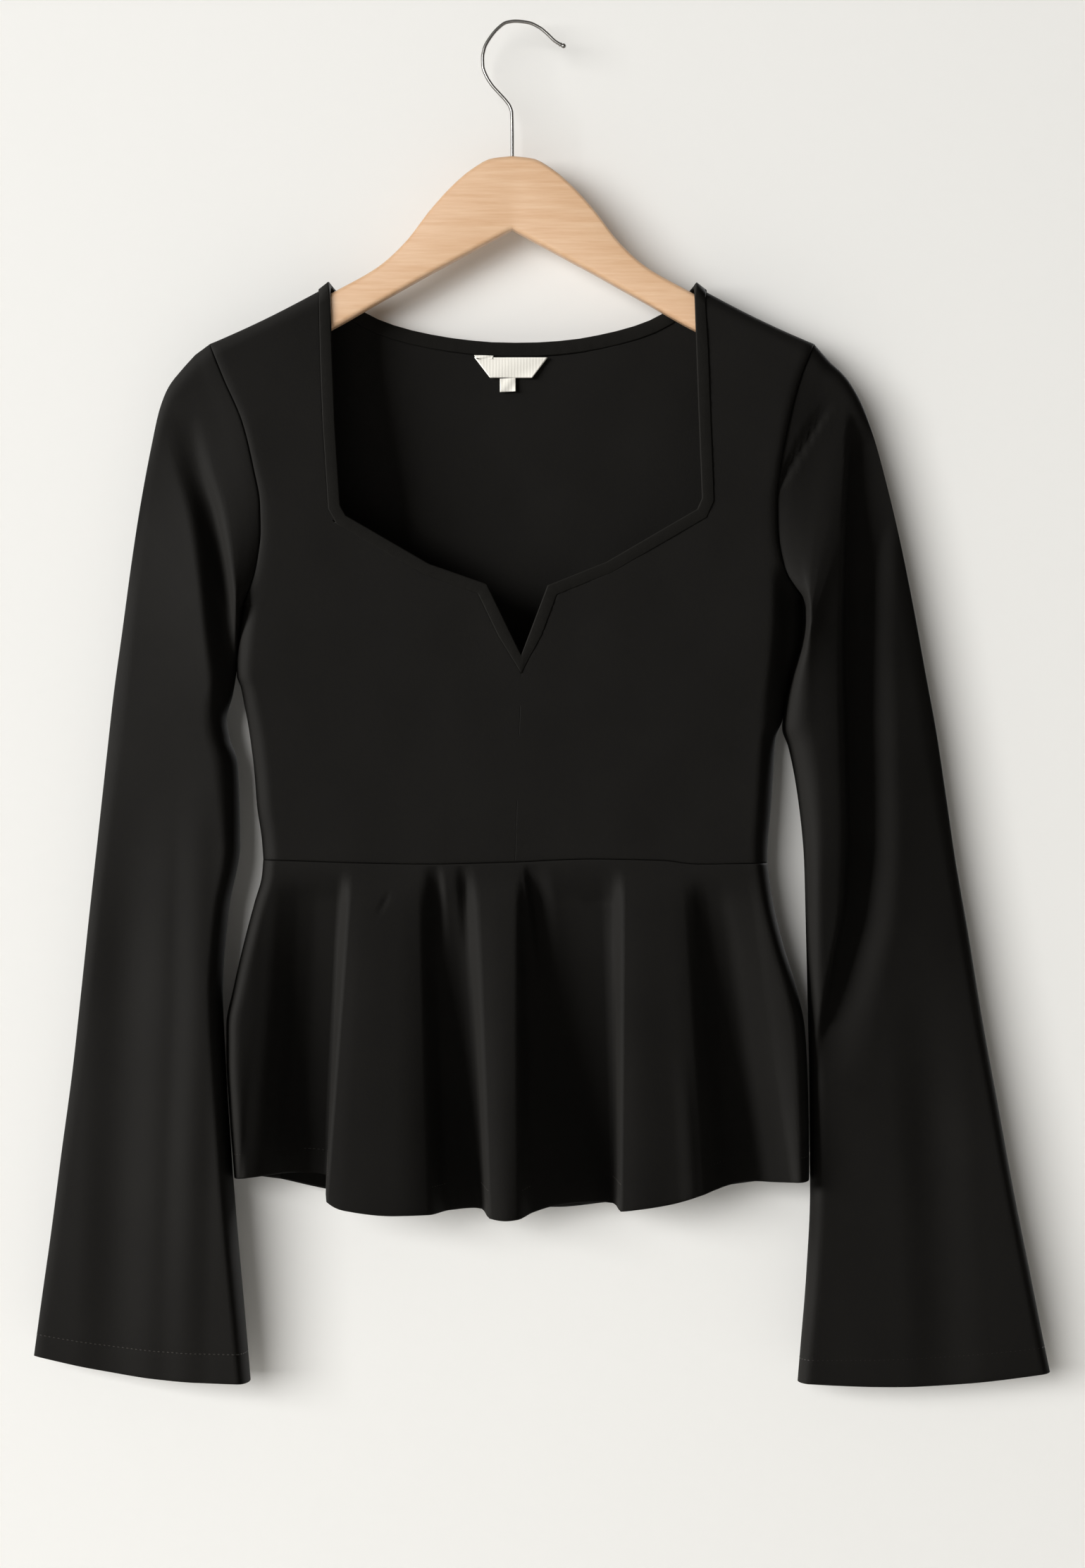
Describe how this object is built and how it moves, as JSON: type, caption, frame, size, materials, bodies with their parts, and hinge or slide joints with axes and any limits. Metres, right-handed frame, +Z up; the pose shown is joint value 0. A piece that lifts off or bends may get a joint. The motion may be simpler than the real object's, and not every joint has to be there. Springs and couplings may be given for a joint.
{
  "type": "peplum top on a hanger",
  "caption": "Black knit peplum top with a square neck and V notch and long bell sleeves, hanging flat on a wooden hanger with a wire hook.",
  "frame": {"origin": "inner top of the hanger's hook, where it hangs", "axes": "+Z up along the hanger's stem, -Y the way the garment's front faces, +X to the right as the front is seen"},
  "size_m": [0.6489, 0.0696, 0.8714],
  "materials": {
    "knit": "matte black double knit",
    "label": "off-white satin tape",
    "wood": "clear satin lacquer on beech",
    "steel": "polished"
  },
  "bodies": {
    "root": {"front_bodice": "knit", "back_bodice": "knit", "front_peplum": "knit", "back_peplum": "knit", "left_sleeve": "knit", "right_sleeve": "knit", "front_neck_binding": "knit", "back_neck_binding": "knit", "neck_label": "label", "size_tab": "label", "hanger_arm": "wood", "hanger_hook": "steel"}
  },
  "joints": []
}
